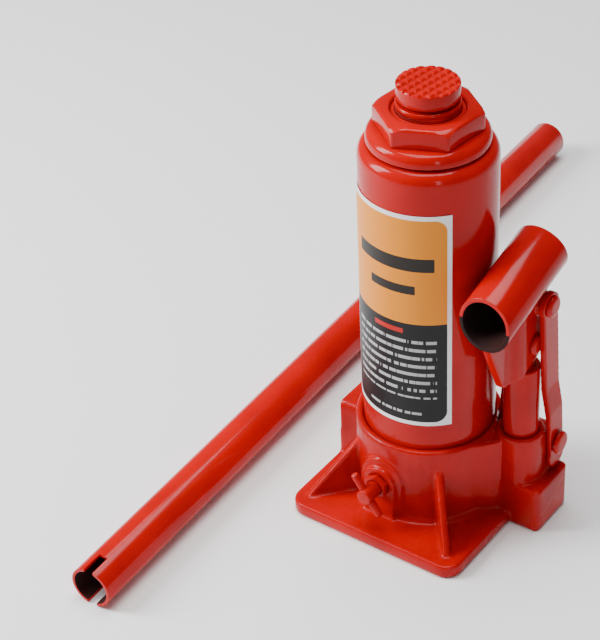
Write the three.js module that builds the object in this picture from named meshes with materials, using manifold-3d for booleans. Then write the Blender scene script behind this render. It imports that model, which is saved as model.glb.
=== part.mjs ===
import * as THREE from 'three';
import { mergeVertices } from 'three/addons/utils/BufferGeometryUtils.js';
import Module from 'manifold-3d';

// Hydraulic bottle jack with its loose pump handle. Millimetres, +Z up.
// The origin is on the ground under the axis of the oil tank, and -Y is the operator's side.

const wasm = await Module();
wasm.setup();

// ---------- driving dimensions ----------
const GAP = 0.3;                 // assembly gap between touching pieces
const TUBE_R = 32.5;             // oil tank tube, outside
const TUBE_WALL = 2.5;
const TUBE_LENGTH = 158.4;       // from its seat to its rolled rim
const RIM_WIDTH = 8;             // how far the rim rolls in
const RIM_HEIGHT = 6.1;
const RIM_ROLL = 5;              // radial reach of the rolled edge
const TANK_SEAT_DEPTH = 4.5;     // depth of the groove the tube stands in
const BASE_HEIGHT = 50;          // top of the base's ring
const PLATE_THICK = 7;
const PLATE_CORNER = 9;
const PLATE_SIDE = 16;           // how far the plate stands out past the tank
const PLATE_FRONT = 23.5;
const PLATE_BACK = 14.5;
const RING_WALL = 3.5;           // ring of the base around the tank
const BORE_FLOOR = 33;           // floor under the pressure cylinder

const CYL_BORE = 17.5;           // pressure cylinder, bore radius
const CYL_WALL = 4.5;
const CYL_ENTRY = 4.5;           // length held inside the top nut
const RAM_R = 15;
const RAM_ABOVE_NUT = 3.4;
const PISTON_CUP = 6;
const RETAINER = 5;
const SCREW_R = 11;
const SCREW_LENGTH = 92;
const SCREW_BORE_SPARE = 6;      // room under the screw inside the ram
const SADDLE_R = 14.6;
const SADDLE_HEIGHT = 7.7;
const SADDLE_LIFT = 1.3;         // saddle above the ram when screwed down
const STOP_RING = 2;
const GASKET = 1.4;              // upper tank gasket
const FLANGE_R = 28.7;
const FLANGE_HEIGHT = 6;
const HEX_FLATS = 45.7;
const HEX_HEIGHT = 10;
const HEX_TURN = -7;             // degrees
const SERRATION_PITCH = 4.2;
const SERRATION_DEPTH = 1.2;
const SERRATION_TURN = -8;       // degrees
const WIPER_R = 17.3;
const WIPER_DEPTH = 5.5;

const PUMP_GAP = 5.75;           // between tank wall and pump sleeve
const PUMP_Y = 8.5;
const PUMP_BOSS_RISE = 2.5;      // boss above the ring
const SLEEVE_R = 8.75;           // boss, yoke pin spacing and links follow it
const PUMP_BOSS_WALL = 2.95;
const SLEEVE_SINK = 14;          // length screwed into the boss
const SLEEVE_STEP = 1.45;        // that length is thinner by this
const SLEEVE_RISE = 38.5;        // length showing above the boss
const PLUNGER_R = 6;
const WORK_GAP = 0.3;            // radial running clearance of sliding and turning pieces
const EYE_THICK = 6.4;
const EYE_R = 6.4;
const YOKE_DROP = 14.9;          // lowest edge of the yoke, under the plunger pin
const YOKE_OVER_SLEEVE = 1.3;    // yoke above the sleeve
const NOSE_HALF = 2.3;           // half thickness of the yoke's front rib
const NOSE_OUT = 34;             // the rib's top in front of the pump axis
const NOSE_FOOT = 21;            // the rib's lower end in front of the pump axis
const SLOT_FRONT = 9;            // front of the eye's slot
const FLAT_DROP = 13.4;          // flats of the plunger reach this far under its pin
const PIN_R = 3;
const OPEN_PIVOT_GAP = 1.7;      // extra clearance of the plunger's eye on its pin
const EYE_ABOVE_SLEEVE = 14.2;
const YOKE_PIN_BACK = 4;         // yoke pin behind the pump axis
const YOKE_PIN_RISE = 21.3;      // yoke pin above the plunger pin
const BASE_PIN_WALL = 0.7;       // metal left between base pin and sleeve
const BASE_PIN_DROP = 8.5;       // base pin under the top of the ring
const CHEEK_THICK = 2.6;
const LINK_THICK = 3.2;
const CHEEK_IN = 2.5;            // cheeks lie this far inside the links
const LINK_TAIL = 8.5;           // tail of the right link under its lower pin
const LINK_WIDTH = 12;
const LINK_END_R = 7;
const LINK_BEND_LOW = 0.16;      // bend, as shares of the link's length above its lower pin
const LINK_BEND_HIGH = 0.42;
const HEAD_R = 5.4;
const BASE_HEAD_R = 5.9;
const HEAD_THICK = 2;
const CLIP_R = 4.8;
const CLIP_THICK = 1.2;
const PIN_TAIL = 0.6;            // pin end past its clip
const SOCKET_R = 13.25;
const SOCKET_WALL = 1.9;
const SOCKET_LENGTH = 53;
const MOUTH_LEAN = 18;           // degrees from a square cut
const SOCKET_TILT = 15.4;        // degrees, mouth down
const SOCKET_CLEAR = 5.42;       // socket's underside above the yoke pin
const SOCKET_BACK = 16.97;       // socket behind the yoke pin, along its own axis

const VALVE_X = -4.2;
const VALVE_Z = 26.5;
const VALVE_BOSS_HALF = 9.2;
const VALVE_HOOD_HALF = 12;      // broader hump behind the boss
const VALVE_HOOD_OUT = 5;        // its front, out from the tank wall
const VALVE_BOSS_OUT = 7.5;      // boss front, out from the tank wall
const VALVE_BORE = 5.2;
const VALVE_DEPTH = 19;
const VALVE_PORT_R = 2;
const SPINDLE_R = 4;
const SPINDLE_OUT = 13;          // spindle end in front of the boss
const CROSS_PIN_R = 2;
const CROSS_PIN_LENGTH = 25;
const CROSS_PIN_TILT = 54;       // degrees
const GLAND_R = 6.6;
const GLAND_OUT = 3.2;
const GLAND_NECK = 2.2;
const ORING_GROOVE = [5.8, 8];   // from the boss face inward
const BALL_R = 2.5;
const PASSAGE_R = 3.1;
const PASSAGE_Z = 16;
const PLUG_LENGTH = 4;
const SPRING_WIRE = 0.55;

const HANDLE_R = 11;
const HANDLE_WALL = 1.6;
const HANDLE_LENGTH = 470;
const HANDLE_NEAR = [-87, -162];
const HANDLE_TURN = 2.8;         // degrees
const SLOT_WIDTH = 5;
const SLOT_LENGTH = 12;
const FILLER_R = 4.2;
const FILLER_BELOW_RIM = 22;
const LABEL_THICK = 0.25;
const LABEL_GAP = 0.3;
const LABEL_HALF = 54;           // degrees each way
const LABEL_TURN = -2.5;         // degrees
const LABEL_LOW = 14.5;          // above the ring
const LABEL_HEIGHT = 118.8;

// ---------- sizes that follow ----------
const RING_R = TUBE_R + RING_WALL;
const TUBE_IN = TUBE_R - TUBE_WALL;
const TANK_SEAT = BASE_HEIGHT - TANK_SEAT_DEPTH;
const TUBE_TOP = TANK_SEAT + GASKET / 2 + TUBE_LENGTH - 1;
const CYL_R = CYL_BORE + CYL_WALL;
const FLANGE_LOW = TUBE_TOP + GASKET;
const FLANGE_TOP = FLANGE_LOW + FLANGE_HEIGHT;
const HEX_TOP = FLANGE_TOP + HEX_HEIGHT;
const CYL_TOP = FLANGE_LOW + CYL_ENTRY;
const RAM_TOP = HEX_TOP + RAM_ABOVE_NUT;
const RETAINER_LOW = BORE_FLOOR + 3;
const CUP_LOW = RETAINER_LOW + RETAINER + GAP;
const RAM_LOW = CUP_LOW + PISTON_CUP + GAP;
const SADDLE_LOW = RAM_TOP + SADDLE_LIFT;
const SADDLE_TOP = SADDLE_LOW + SADDLE_HEIGHT;
const SCREW_LOW = RAM_TOP - SCREW_LENGTH;
const RING_LOW = SCREW_LOW - GAP - STOP_RING;
const PLATE_X = TUBE_R + PLATE_SIDE;
const PUMP_X = TUBE_R + PUMP_GAP + SLEEVE_R;
const PUMP_BOSS_R = SLEEVE_R + PUMP_BOSS_WALL;
const SLEEVE_NECK_R = SLEEVE_R - SLEEVE_STEP;
const BASE_PIN_BACK = SLEEVE_NECK_R + GAP + PIN_R + BASE_PIN_WALL;
const LINK_UPPER = SLEEVE_R + 0.25;
const LINK_LOWER = PUMP_BOSS_R + 0.1;
const CHEEK_OUT = LINK_UPPER - CHEEK_IN;
const BOSS_TOP = BASE_HEIGHT + PUMP_BOSS_RISE;
const SLEEVE_LOW = BOSS_TOP - SLEEVE_SINK;
const SLEEVE_TOP = BOSS_TOP + SLEEVE_RISE;
const EYE_Z = SLEEVE_TOP + EYE_ABOVE_SLEEVE;
const YOKE_Z = EYE_Z + YOKE_PIN_RISE;
const BASE_PIN_Z = BASE_HEIGHT - BASE_PIN_DROP;
const LUG_HALF = LINK_LOWER - 0.6;
const BOSS_FRONT = -(TUBE_R + VALVE_BOSS_OUT);
const FILLER_Z = TUBE_TOP - FILLER_BELOW_RIM;
const LINK_SLANT = Math.atan2(YOKE_PIN_BACK - BASE_PIN_BACK, YOKE_Z - BASE_PIN_Z);
const LINK_SPAN = Math.hypot(YOKE_PIN_BACK - BASE_PIN_BACK, YOKE_Z - BASE_PIN_Z);
const SOCKET_RISE = SOCKET_R + SOCKET_CLEAR;

// ---------- solids ----------
function solid(geometry) {
  const bare = geometry.index ? geometry.toNonIndexed() : geometry.clone();
  bare.deleteAttribute('normal');
  bare.deleteAttribute('uv');
  const merged = mergeVertices(bare, 1e-4);
  const position = merged.attributes.position;
  const kept = [];
  let volume = 0;
  const a = new THREE.Vector3();
  const b = new THREE.Vector3();
  const c = new THREE.Vector3();
  for (let i = 0; i < merged.index.count; i += 3) {
    const corner = [0, 1, 2].map((k) => merged.index.getX(i + k));
    if (new Set(corner).size < 3) continue;
    kept.push(...corner);
    a.fromBufferAttribute(position, corner[0]);
    b.fromBufferAttribute(position, corner[1]);
    c.fromBufferAttribute(position, corner[2]);
    volume += a.dot(b.cross(c));
  }
  if (volume < 0) kept.reverse();
  return new wasm.Manifold(new wasm.Mesh({
    numProp: 3,
    vertProperties: new Float32Array(position.array),
    triVerts: new Uint32Array(kept),
  }));
}

function join(first, ...others) {
  return others.reduce((sum, other) => sum.add(other), first);
}

function cut(first, ...others) {
  return others.reduce((rest, other) => rest.subtract(other), first);
}

function box(x0, x1, y0, y1, z0, z1) {
  const geometry = new THREE.BoxGeometry(x1 - x0, y1 - y0, z1 - z0);
  geometry.translate((x0 + x1) / 2, (y0 + y1) / 2, (z0 + z1) / 2);
  return geometry;
}

// a turned piece about +Z from [radius, height] points
function turned(profile, sides = 36) {
  const points = profile.map(([r, z]) => new THREE.Vector2(r, z));
  if (profile[0][0] > 0) points.push(points[0].clone());
  const geometry = new THREE.LatheGeometry(points, sides);
  geometry.rotateX(Math.PI / 2);
  return geometry;
}

function rod(radius, z0, z1, sides = 24) {
  return turned([[0, z0], [radius, z0], [radius, z1], [0, z1]], sides);
}

function pipe(outer, inner, z0, z1, sides = 24) {
  return turned([[inner, z0], [outer, z0], [outer, z1], [inner, z1]], sides);
}

function alongX(geometry, x, y, z) {
  geometry.rotateY(Math.PI / 2);
  geometry.translate(x, y, z);
  return geometry;
}

function alongY(geometry, x, y, z) {
  geometry.rotateX(-Math.PI / 2);
  geometry.translate(x, y, z);
  return geometry;
}

// an outline in the Y-Z plane, given thickness along X
function sidePlate(shape, x0, x1) {
  const geometry = new THREE.ExtrudeGeometry(shape, { depth: x1 - x0, bevelEnabled: false, curveSegments: 10 });
  const turn = new THREE.Matrix4().makeBasis(
    new THREE.Vector3(0, 1, 0),
    new THREE.Vector3(0, 0, 1),
    new THREE.Vector3(1, 0, 0),
  );
  geometry.applyMatrix4(turn);
  geometry.translate(x0, 0, 0);
  return geometry;
}

// an outline in the X-Z plane, given thickness along Y
function frontPlate(shape, y0, y1) {
  const geometry = new THREE.ExtrudeGeometry(shape, { depth: y1 - y0, bevelEnabled: false, curveSegments: 10 });
  geometry.rotateX(Math.PI / 2);
  geometry.translate(0, y1, 0);
  return geometry;
}

function outline(points) {
  return new THREE.Shape(points.map(([x, y]) => new THREE.Vector2(x, y)));
}

function roundedRectangle(x0, x1, y0, y1, r) {
  const shape = new THREE.Shape();
  shape.moveTo(x0 + r, y0);
  shape.lineTo(x1 - r, y0);
  shape.absarc(x1 - r, y0 + r, r, -Math.PI / 2, 0);
  shape.lineTo(x1, y1 - r);
  shape.absarc(x1 - r, y1 - r, r, 0, Math.PI / 2);
  shape.lineTo(x0 + r, y1);
  shape.absarc(x0 + r, y1 - r, r, Math.PI / 2, Math.PI);
  shape.lineTo(x0, y0 + r);
  shape.absarc(x0 + r, y0 + r, r, Math.PI, 1.5 * Math.PI);
  return shape;
}

// a helical spring along +Z
function coil(radius, length, turns) {
  class Helix extends THREE.Curve {
    getPoint(t) {
      const angle = 2 * Math.PI * turns * t;
      return new THREE.Vector3(radius * Math.cos(angle), radius * Math.sin(angle), length * t);
    }
  }
  const wire = new THREE.Shape().absarc(0, 0, SPRING_WIRE, 0, 2 * Math.PI);
  return new THREE.ExtrudeGeometry(wire, {
    steps: turns * 7,
    curveSegments: 2,
    extrudePath: new Helix(),
  });
}

const jack = new THREE.Group();
const pump = new THREE.Group();
pump.position.set(PUMP_X, PUMP_Y, 0);
jack.add(pump);

const FINISHES = {
  casting: { color: 0xc80f16, roughness: 0.4, metalness: 0.1 },
  paint: { color: 0xd4141b, roughness: 0.28, metalness: 0.1 },
  steel: { color: 0xa6a8ab, roughness: 0.3, metalness: 0.9 },
  spring: { color: 0x8d9094, roughness: 0.35, metalness: 0.9 },
  copper: { color: 0xb8703c, roughness: 0.4, metalness: 0.9 },
  rubber: { color: 0x1c1c1e, roughness: 0.75, metalness: 0 },
  print: { color: 0xf0a21a, roughness: 0.45, metalness: 0 },
};

function add(name, shape, finish, parent = jack) {
  const mesh = shape.getMesh();
  const geometry = new THREE.BufferGeometry();
  geometry.setAttribute('position', new THREE.BufferAttribute(new Float32Array(mesh.vertProperties), 3));
  geometry.setIndex(new THREE.BufferAttribute(new Uint32Array(mesh.triVerts), 1));
  geometry.computeVertexNormals();
  const node = new THREE.Mesh(geometry, new THREE.MeshStandardMaterial(FINISHES[finish]));
  node.name = name;
  parent.add(node);
  return node;
}

// ---------- base ----------
// a corner rib, by its bearing in degrees
function gusset(angle) {
  const reach = Math.hypot(PLATE_X - 8, TUBE_R + PLATE_FRONT - 8);
  const shape = outline([
    [CYL_R + 4, PLATE_THICK - 1],
    [reach, PLATE_THICK - 1],
    [reach, PLATE_THICK + 1],
    [RING_R + 0.8, BASE_HEIGHT - 12],
    [CYL_R + 4, BASE_HEIGHT - 12],
  ]);
  const geometry = frontPlate(shape, -1.8, 1.8);
  geometry.rotateZ(angle * Math.PI / 180);
  return solid(geometry);
}

function baseCasting() {
  const back = TUBE_R + PLATE_BACK;
  const front = TUBE_R + PLATE_FRONT;
  const side = PUMP_X + 17.5;
  const plate = solid(new THREE.ExtrudeGeometry(
    roundedRectangle(-PLATE_X, PLATE_X, -front, back, PLATE_CORNER),
    { depth: PLATE_THICK - 1.2, bevelThickness: 0.6, bevelSize: 0.6, bevelOffset: -0.6, bevelSegments: 1,
      curveSegments: 6 },
  ).translate(0, 0, 0.6));
  const ring = solid(turned([
    [0, 1],
    [RING_R + 3.4, 1],
    [RING_R + 3.4, PLATE_THICK],
    [RING_R + 1.6, PLATE_THICK + 2.2],
    [RING_R + 1, PLATE_THICK + 6],
    [RING_R + 0.4, BASE_HEIGHT - 8],
    [RING_R + 0.4, BASE_HEIGHT - 1],
    [RING_R - 0.4, BASE_HEIGHT],
    [0, BASE_HEIGHT],
  ], 44));
  const fin = solid(sidePlate(outline([
    [-10.5, 1],
    [24.5, 1],
    [24, PLATE_THICK],
    [22, BASE_HEIGHT - 12.5],
    [20, BASE_HEIGHT - 11.5],
    [-7, BASE_HEIGHT - 11.5],
    [-8.6, BASE_HEIGHT - 13],
    [-10, PLATE_THICK],
  ]), -PLATE_X, -CYL_R - 4));
  const pedestal = solid(new THREE.ExtrudeGeometry(
    roundedRectangle(CYL_R + 4, side, PUMP_Y - 11.5, PUMP_Y + 17.5, 3),
    { depth: BASE_HEIGHT - 25, bevelEnabled: false, curveSegments: 4 },
  ));
  const boss = solid(rod(PUMP_BOSS_R, 2, BOSS_TOP, 30).translate(PUMP_X, PUMP_Y, 0));
  const bridge = solid(box(CYL_R + 6, PUMP_X, PUMP_Y - 8, PUMP_Y + 8, 2, BASE_HEIGHT - 4));
  const pinY = PUMP_Y + BASE_PIN_BACK;
  const lug = solid(sidePlate(outline([
    [PUMP_Y + 2, 2],
    [pinY + 8.5, 2],
    [pinY + 8.5, BASE_PIN_Z],
    [pinY + 5.5, BASE_PIN_Z + 6],
    [pinY + 2, BASE_PIN_Z + 7.5],
    [PUMP_Y + 2, BASE_PIN_Z + 7.5],
  ]), PUMP_X - LUG_HALF, PUMP_X + LUG_HALF));
  const valveArch = (half, from) => {
    const shape = new THREE.Shape();
    shape.moveTo(VALVE_X - half, 2);
    shape.lineTo(VALVE_X + half, 2);
    shape.absarc(VALVE_X, VALVE_Z + 0.4 * (half - VALVE_BOSS_HALF), half, 0, Math.PI, false);
    return solid(frontPlate(shape, from, -CYL_R - 4));
  };
  const valveBoss = valveArch(VALVE_BOSS_HALF, BOSS_FRONT);
  const valveHood = valveArch(VALVE_HOOD_HALF, -(TUBE_R + VALVE_HOOD_OUT));
  const webRing = [RING_R * Math.cos(0.44), -RING_R * Math.sin(0.44)];
  const webBoss = [PUMP_X - PUMP_BOSS_R * 0.34, PUMP_Y - PUMP_BOSS_R * 0.94];
  const frontWeb = solid(new THREE.ExtrudeGeometry(
    outline([[CYL_R + 4, -8], webRing, webBoss, [PUMP_X, PUMP_Y], [CYL_R + 4, PUMP_Y]]),
    { depth: BASE_HEIGHT - 3, bevelEnabled: false },
  ).translate(0, 0, 2));
  const linkRoom = LINK_LOWER + LINK_THICK + CLIP_THICK + PIN_TAIL + 1.4;
  const pockets = [-1, 1].map((hand) => {
    const inner = PUMP_X + hand * (LINK_LOWER - GAP);
    const outer = PUMP_X + hand * linkRoom;
    return solid(box(Math.min(inner, outer), Math.max(inner, outer),
      pinY - 10, pinY + 12, BASE_PIN_Z - 9, BASE_HEIGHT + 10))
      .subtract(solid(rod(TUBE_R + 1.2, 0, BASE_HEIGHT + 20, 44)));
  });
  const whole = join(plate, ring, fin, pedestal, boss, bridge, frontWeb, lug, valveBoss, valveHood,
    gusset(-49.6), gusset(-131.5), gusset(49.6), gusset(131.5));
  const groove = solid(pipe(TUBE_R + GAP, TUBE_IN - GAP, TANK_SEAT - GAP, BASE_HEIGHT + 1, 44));
  const bore = solid(rod(CYL_R + GAP, BORE_FLOOR, BASE_HEIGHT + 1, 36));
  const pumpBore = join(
    solid(rod(SLEEVE_NECK_R + GAP, SLEEVE_LOW - 2.2, BOSS_TOP + 1, 24).translate(PUMP_X, PUMP_Y, 0)),
    solid(rod(SLEEVE_R + GAP, BOSS_TOP - 2 - GAP, BOSS_TOP + 1, 24).translate(PUMP_X, PUMP_Y, 0)),
    solid(rod(PLUNGER_R + 0.4, PASSAGE_Z + 4, BOSS_TOP, 24).translate(PUMP_X, PUMP_Y, 0)),
    solid(rod(PASSAGE_R, -1, PASSAGE_Z + 5, 20).translate(PUMP_X, PUMP_Y, 0)),
  );
  const delivery = join(
    solid(alongX(rod(PASSAGE_R, 0, PUMP_X - 10, 20), 10, PUMP_Y, PASSAGE_Z)),
    solid(rod(2, PASSAGE_Z, BORE_FLOOR + 1, 12).translate(12, PUMP_Y, 0)),
  );
  const release = join(
    solid(alongY(rod(VALVE_BORE, 0, VALVE_DEPTH + 1, 24), VALVE_X, BOSS_FRONT - 1, VALVE_Z)),
    solid(alongY(rod(VALVE_PORT_R, 0, VALVE_DEPTH + 12, 12), VALVE_X, BOSS_FRONT, VALVE_Z)),
    solid(rod(VALVE_PORT_R, VALVE_Z, BORE_FLOOR + 1, 12).translate(VALVE_X, BOSS_FRONT + VALVE_DEPTH + 10, 0)),
  );
  const relief = join(
    solid(alongY(rod(4.3, 0, RING_R, 20), 0, 20, PASSAGE_Z)),
    solid(rod(2, PASSAGE_Z, BORE_FLOOR + 1, 12).translate(0, 16, 0)),
    solid(alongY(rod(2, 0, 10, 12), 0, 14, PASSAGE_Z)),
  );
  const pinHole = solid(alongX(rod(PIN_R + GAP, -30, 30, 20), PUMP_X, pinY, BASE_PIN_Z));
  const hollows = [...pockets, groove, bore, pumpBore, delivery, release, relief, pinHole];
  add('base_casting', cut(whole, ...hollows), 'casting');
}

// ---------- tank, cylinder and top nut ----------
function reservoirTube() {
  const low = TANK_SEAT + GASKET / 2;
  const rim = TUBE_R - RIM_WIDTH;
  const roll = [];
  for (let i = 0; i <= 6; i += 1) {
    const angle = (i / 6) * (Math.PI / 2);
    roll.push([
      TUBE_R - RIM_ROLL * (1 - Math.cos(angle)),
      TUBE_TOP - RIM_HEIGHT * (1 - Math.sin(angle)),
    ]);
  }
  const body = solid(turned([
    [TUBE_IN, low],
    [TUBE_R, low],
    ...roll,
    [rim, TUBE_TOP],
    [rim, TUBE_TOP - TUBE_WALL],
    [TUBE_IN - 3, TUBE_TOP - TUBE_WALL],
    [TUBE_IN, TUBE_TOP - RIM_HEIGHT - 1],
  ], 44));
  const hole = solid(alongY(rod(FILLER_R, 0, 10, 20), 0, TUBE_R - 5, FILLER_Z));
  add('reservoir_tube', cut(body, hole), 'paint');
}

function pressureCylinder() {
  const foot = BORE_FLOOR + GAP + 1.5;
  const port = solid(rod(3, BORE_FLOOR - 1, foot + 3, 12));
  const wall = solid(turned([
    [CYL_BORE, foot],
    [CYL_R, foot],
    [CYL_R, CYL_TOP],
    [CYL_BORE, CYL_TOP],
  ], 36));
  add('pressure_cylinder', cut(wall, port), 'steel');
  add('cylinder_gasket', solid(pipe(CYL_R, CYL_BORE, BORE_FLOOR + GAP, foot - GAP, 30)), 'copper');
}

function tankGaskets() {
  const lower = pipe(TUBE_R, TUBE_IN, TANK_SEAT, TANK_SEAT + GASKET / 2 - GAP, 30);
  add('tank_gasket_lower', solid(lower), 'rubber');
  const rim = TUBE_R - RIM_WIDTH;
  add('tank_gasket_upper', solid(pipe(FLANGE_R - 2, rim, TUBE_TOP + GAP, FLANGE_LOW - GAP, 36)), 'rubber');
}

function topNut() {
  const flange = solid(turned([
    [RAM_R + GAP, FLANGE_LOW],
    [FLANGE_R, FLANGE_LOW],
    [FLANGE_R, FLANGE_LOW + 2.2],
    [FLANGE_R - 1, FLANGE_TOP - 1.4],
    [FLANGE_R - 3.2, FLANGE_TOP],
    [RAM_R + GAP, FLANGE_TOP],
  ], 44));
  const hexagon = new THREE.CylinderGeometry(1, 1, HEX_HEIGHT + 1, 6);
  hexagon.rotateX(Math.PI / 2);
  hexagon.rotateZ((HEX_TURN * Math.PI) / 180);
  const corner = HEX_FLATS / 2 / Math.cos(Math.PI / 6);
  hexagon.scale(corner, corner, 1);
  hexagon.translate(0, 0, FLANGE_TOP + HEX_HEIGHT / 2 - 0.5);
  const chamfer = solid(turned([
    [0, FLANGE_TOP - 1],
    [corner + 2, FLANGE_TOP - 1],
    [corner + 0.4, HEX_TOP - 2],
    [corner - 3, HEX_TOP],
    [0, HEX_TOP],
  ], 36));
  const head = solid(hexagon).intersect(chamfer);
  const thread = solid(rod(CYL_R + GAP, FLANGE_LOW - 1, CYL_TOP + GAP, 36));
  const bore = solid(rod(RAM_R + WORK_GAP, FLANGE_LOW - 1, HEX_TOP + 1, 30));
  const seat = solid(turned([
    [0, HEX_TOP - WIPER_DEPTH],
    [WIPER_R, HEX_TOP - WIPER_DEPTH],
    [WIPER_R, HEX_TOP - 0.8],
    [WIPER_R + 1.2, HEX_TOP + 0.4],
    [0, HEX_TOP + 0.4],
  ], 30));
  add('top_nut', cut(flange.add(head), thread, bore, seat), 'paint');
  add('ram_wiper_seal', solid(turned([
    [RAM_R + WORK_GAP, HEX_TOP - WIPER_DEPTH + GAP],
    [WIPER_R - GAP, HEX_TOP - WIPER_DEPTH + GAP],
    [WIPER_R - GAP, HEX_TOP - 1.6],
    [RAM_R + WORK_GAP, HEX_TOP - 0.8],
  ], 30)), 'rubber');
}

// ---------- ram, piston and extension screw ----------
function ramAndPiston() {
  const boreLow = RING_LOW - SCREW_BORE_SPARE;
  add('ram', solid(turned([
    [0, RETAINER_LOW - 1],
    [5, RETAINER_LOW - 1],
    [5, RAM_LOW],
    [RAM_R, RAM_LOW],
    [RAM_R, RAM_TOP - 1],
    [RAM_R - 1, RAM_TOP],
    [SCREW_R + WORK_GAP, RAM_TOP],
    [SCREW_R + WORK_GAP, boreLow],
    [0, boreLow],
  ], 36)), 'steel');
  add('piston_cup', solid(turned([
    [5 + GAP, CUP_LOW],
    [CYL_BORE - GAP, CUP_LOW - 1.5],
    [CYL_BORE - GAP, CUP_LOW + PISTON_CUP],
    [5 + GAP, CUP_LOW + PISTON_CUP],
  ], 30)), 'rubber');
  const retainer = pipe(CYL_BORE - 4, 5 + GAP, RETAINER_LOW, RETAINER_LOW + RETAINER - 1.5, 24);
  add('piston_retainer', solid(retainer), 'steel');
}

function extensionScrew() {
  const body = solid(turned([
    [0, SCREW_LOW],
    [SCREW_R - 1.5, SCREW_LOW],
    [SCREW_R, SCREW_LOW + 1.5],
    [SCREW_R, SADDLE_LOW],
    [SADDLE_R - 0.6, SADDLE_LOW],
    [SADDLE_R, SADDLE_LOW + 0.8],
    [SADDLE_R, SADDLE_TOP - 0.6],
    [SADDLE_R - 0.6, SADDLE_TOP],
    [0, SADDLE_TOP],
  ], 36));
  const neck = solid(pipe(SCREW_R + 1, SCREW_R - 1, RAM_TOP + 0.2, SADDLE_LOW - GAP, 24));
  const grooves = [];
  const reach = SADDLE_R + 1;
  for (const [turn, depth] of [[0, SERRATION_DEPTH], [90, SERRATION_DEPTH * 0.9]]) {
    const half = depth / Math.SQRT2;
    for (let i = -2.5; i <= 2.5; i += 1) {
      const bar = box(-reach, reach, -half, half, -half, half);
      bar.rotateX(Math.PI / 4);
      bar.translate(0, i * SERRATION_PITCH, SADDLE_TOP);
      bar.rotateZ(((turn + SERRATION_TURN) * Math.PI) / 180);
      grooves.push(solid(bar));
    }
  }
  add('extension_screw', cut(body, neck, ...grooves), 'steel');
  add('screw_stop_ring', solid(pipe(SCREW_R - 0.6, SCREW_R - 4, RING_LOW, RING_LOW + STOP_RING, 24)), 'spring');
}

function fillerPlug() {
  const shape = solid(turned([
    [0, 0],
    [FILLER_R - GAP, 0],
    [FILLER_R - GAP, TUBE_WALL + 3],
    [FILLER_R + 1.6, TUBE_WALL + 3.6],
    [FILLER_R + 1.2, TUBE_WALL + 5.4],
    [0, TUBE_WALL + 5.8],
  ], 24));
  const node = add('filler_plug', shape, 'rubber');
  node.rotation.x = -Math.PI / 2;
  node.position.set(0, TUBE_IN - 2.6, FILLER_Z);
}

function ratingLabel() {
  const inner = TUBE_R + LABEL_GAP;
  const outer = inner + LABEL_THICK;
  const shape = new THREE.Shape();
  const from = (-90 + LABEL_TURN - LABEL_HALF) * Math.PI / 180;
  const to = (-90 + LABEL_TURN + LABEL_HALF) * Math.PI / 180;
  shape.absarc(0, 0, outer, from, to, false);
  shape.absarc(0, 0, inner, to, from, true);
  const sheet = new THREE.ExtrudeGeometry(
    shape,
    { depth: LABEL_HEIGHT, bevelEnabled: false, curveSegments: 18 },
  );
  sheet.translate(0, 0, BASE_HEIGHT + LABEL_LOW);
  add('rating_label', solid(sheet), 'print');
}

// ---------- pump ----------
function pumpBarrel() {
  add('pump_sleeve', solid(turned([
    [PLUNGER_R + WORK_GAP, SLEEVE_LOW],
    [SLEEVE_NECK_R, SLEEVE_LOW],
    [SLEEVE_NECK_R, BOSS_TOP - 2],
    [SLEEVE_R, BOSS_TOP - 2],
    [SLEEVE_R, SLEEVE_TOP - 1],
    [SLEEVE_R - 1, SLEEVE_TOP],
    [PLUNGER_R + WORK_GAP, SLEEVE_TOP],
  ], 30)), 'paint', pump);
  const washer = pipe(SLEEVE_NECK_R, PLUNGER_R + 0.4, SLEEVE_LOW - 1.8, SLEEVE_LOW - GAP, 14);
  add('pump_sleeve_washer', solid(washer), 'copper', pump);
}

function pumpPlunger() {
  const low = SLEEVE_LOW + 2;
  const stem = solid(turned([
    [0, low],
    [PLUNGER_R, low],
    [PLUNGER_R, EYE_Z - FLAT_DROP],
    [0, EYE_Z - FLAT_DROP],
  ], 24));
  const groove = solid(pipe(PLUNGER_R + 1, PLUNGER_R - 1.4, low + 3, low + 6, 14));
  const eye = solid(alongX(rod(EYE_R, -EYE_THICK / 2, EYE_THICK / 2, 24), 0, 0, EYE_Z));
  const neck = solid(box(-EYE_THICK / 2, EYE_THICK / 2, -PLUNGER_R + 0.6, PLUNGER_R - 0.6,
    EYE_Z - FLAT_DROP - 1, EYE_Z));
  const flats = [-1, 1].map((s) => solid(box(
    Math.min(s * (EYE_THICK / 2), s * 12), Math.max(s * (EYE_THICK / 2), s * 12), -12, 12,
    EYE_Z - FLAT_DROP, EYE_Z + 12)));
  const hole = solid(alongX(rod(PIN_R + OPEN_PIVOT_GAP, -12, 12, 20), 0, 0, EYE_Z));
  add('pump_plunger', cut(join(stem, eye, neck), groove, ...flats, hole), 'steel', pump);
  add('plunger_seal', solid(pipe(PLUNGER_R, PLUNGER_R - 1.1, low + 3 + GAP, low + 6 - GAP, 14)), 'rubber', pump);
}

// socket axis: a frame at the yoke pin, with its X across, Y along the socket to the back
const SOCKET_FRAME = new THREE.Matrix4().makeTranslation(0, YOKE_PIN_BACK, YOKE_Z)
  .multiply(new THREE.Matrix4().makeRotationX(SOCKET_TILT * Math.PI / 180));

function socketRod(radius, y0, y1, sides) {
  const geometry = alongY(rod(radius, y0, y1, sides), 0, 0, SOCKET_RISE);
  geometry.applyMatrix4(SOCKET_FRAME);
  return solid(geometry);
}

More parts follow.
